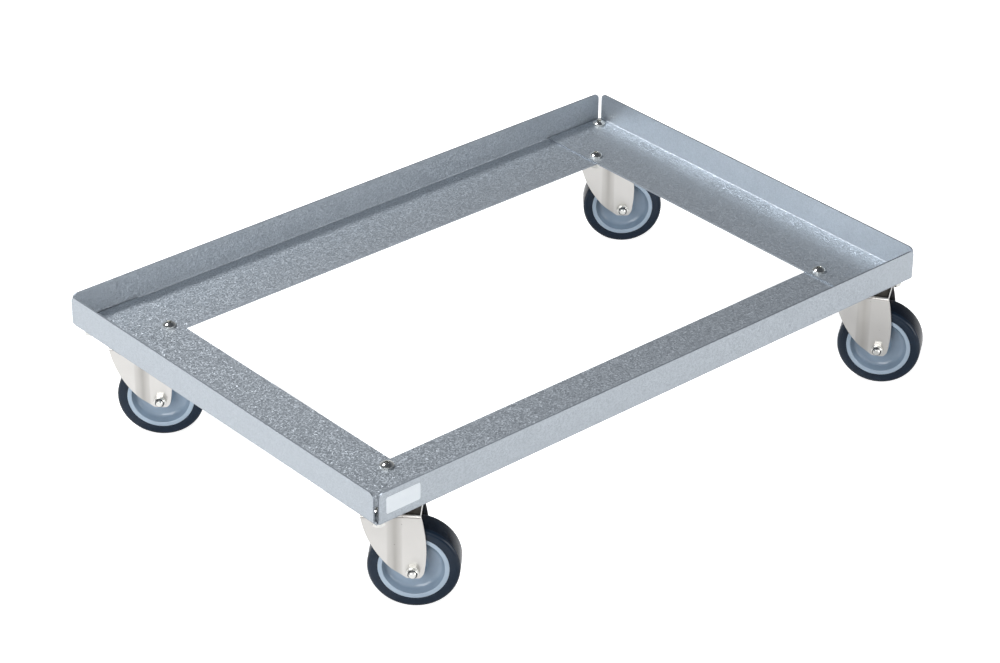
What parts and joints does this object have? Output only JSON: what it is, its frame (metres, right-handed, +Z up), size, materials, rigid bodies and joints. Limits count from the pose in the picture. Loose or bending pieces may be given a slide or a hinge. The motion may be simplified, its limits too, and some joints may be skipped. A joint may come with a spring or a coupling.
{
  "type": "wheeled crate dolly",
  "caption": "Low rectangular dolly of folded zinc-plated angle profiles, open in the middle, with upright rims that hold a crate and swivel castors under the corners.",
  "frame": {"origin": "on the floor under the middle of the frame", "axes": "+X along the long sides, +Y from the front long side to the back one, +Z up"},
  "size_m": [0.6329, 0.434, 0.129],
  "materials": {
    "zinc_sheet": "zinc-plated sheet with a fine sparkling grain",
    "castor_steel": "satin pressed steel",
    "bright_steel": "bright zinc-plated",
    "ball_steel": "polished",
    "wheel_plastic": "moulded, satin",
    "tyre_rubber": "moulded, smooth tread"
  },
  "bodies": {
    "frame": {"front_side": "zinc_sheet", "back_side": "zinc_sheet", "left_side": "zinc_sheet", "right_side": "zinc_sheet", "front_left_plate": "castor_steel", "front_left_king_pin": "bright_steel", "front_left_lower_race": "castor_steel", "front_left_plate_screws": "bright_steel", "front_left_plate_nuts": "bright_steel", "front_right_plate": "castor_steel", "front_right_king_pin": "bright_steel", "front_right_lower_race": "castor_steel", "front_right_plate_screws": "bright_steel", "front_right_plate_nuts": "bright_steel", "back_right_plate": "castor_steel", "back_right_king_pin": "bright_steel", "back_right_lower_race": "castor_steel", "back_right_plate_screws": "bright_steel", "back_right_plate_nuts": "bright_steel", "back_left_plate": "castor_steel", "back_left_king_pin": "bright_steel", "back_left_lower_race": "castor_steel", "back_left_plate_screws": "bright_steel", "back_left_plate_nuts": "bright_steel"},
    "front_left_castor": {"front_left_fork": "castor_steel", "front_left_upper_balls": "ball_steel", "front_left_lower_balls": "ball_steel", "front_left_axle_bolt": "bright_steel", "front_left_axle_nut": "bright_steel", "front_left_axle_sleeve": "bright_steel"},
    "front_right_castor": {"front_right_fork": "castor_steel", "front_right_upper_balls": "ball_steel", "front_right_lower_balls": "ball_steel", "front_right_axle_bolt": "bright_steel", "front_right_axle_nut": "bright_steel", "front_right_axle_sleeve": "bright_steel"},
    "back_right_castor": {"back_right_fork": "castor_steel", "back_right_upper_balls": "ball_steel", "back_right_lower_balls": "ball_steel", "back_right_axle_bolt": "bright_steel", "back_right_axle_nut": "bright_steel", "back_right_axle_sleeve": "bright_steel"},
    "back_left_castor": {"back_left_fork": "castor_steel", "back_left_upper_balls": "ball_steel", "back_left_lower_balls": "ball_steel", "back_left_axle_bolt": "bright_steel", "back_left_axle_nut": "bright_steel", "back_left_axle_sleeve": "bright_steel"},
    "front_left_wheel": {"front_left_wheel_centre": "wheel_plastic", "front_left_tyre": "tyre_rubber"},
    "front_right_wheel": {"front_right_wheel_centre": "wheel_plastic", "front_right_tyre": "tyre_rubber"},
    "back_right_wheel": {"back_right_wheel_centre": "wheel_plastic", "back_right_tyre": "tyre_rubber"},
    "back_left_wheel": {"back_left_wheel_centre": "wheel_plastic", "back_left_tyre": "tyre_rubber"}
  },
  "joints": [
    {"name": "front_left_swivel", "type": "hinge", "parent": "frame", "child": "front_left_castor", "pos_m": [-0.2715, -0.1705, 0.0895], "axis": [0, 0, 1], "continuous": true},
    {"name": "front_left_roll", "type": "hinge", "parent": "front_left_castor", "child": "front_left_wheel", "pos_m": [-0.25382, -0.18818, 0.0375], "axis": [0.7071, 0.7071, 0], "continuous": true},
    {"name": "front_right_swivel", "type": "hinge", "parent": "frame", "child": "front_right_castor", "pos_m": [0.2715, -0.1705, 0.0895], "axis": [0, 0, 1], "continuous": true},
    {"name": "front_right_roll", "type": "hinge", "parent": "front_right_castor", "child": "front_right_wheel", "pos_m": [0.28584, -0.19098, 0.0375], "axis": [0.8192, 0.5736, 0], "continuous": true},
    {"name": "back_right_swivel", "type": "hinge", "parent": "frame", "child": "back_right_castor", "pos_m": [0.2715, 0.1705, 0.0895], "axis": [0, 0, 1], "continuous": true},
    {"name": "back_right_roll", "type": "hinge", "parent": "back_right_castor", "child": "back_right_wheel", "pos_m": [0.29037, 0.1541, 0.0375], "axis": [0.6561, 0.7547, 0], "continuous": true},
    {"name": "back_left_swivel", "type": "hinge", "parent": "frame", "child": "back_left_castor", "pos_m": [-0.2715, 0.1705, 0.0895], "axis": [0, 0, 1], "continuous": true},
    {"name": "back_left_roll", "type": "hinge", "parent": "back_left_castor", "child": "back_left_wheel", "pos_m": [-0.25322, 0.15345, 0.0375], "axis": [0.682, 0.7314, 0], "continuous": true}
  ]
}
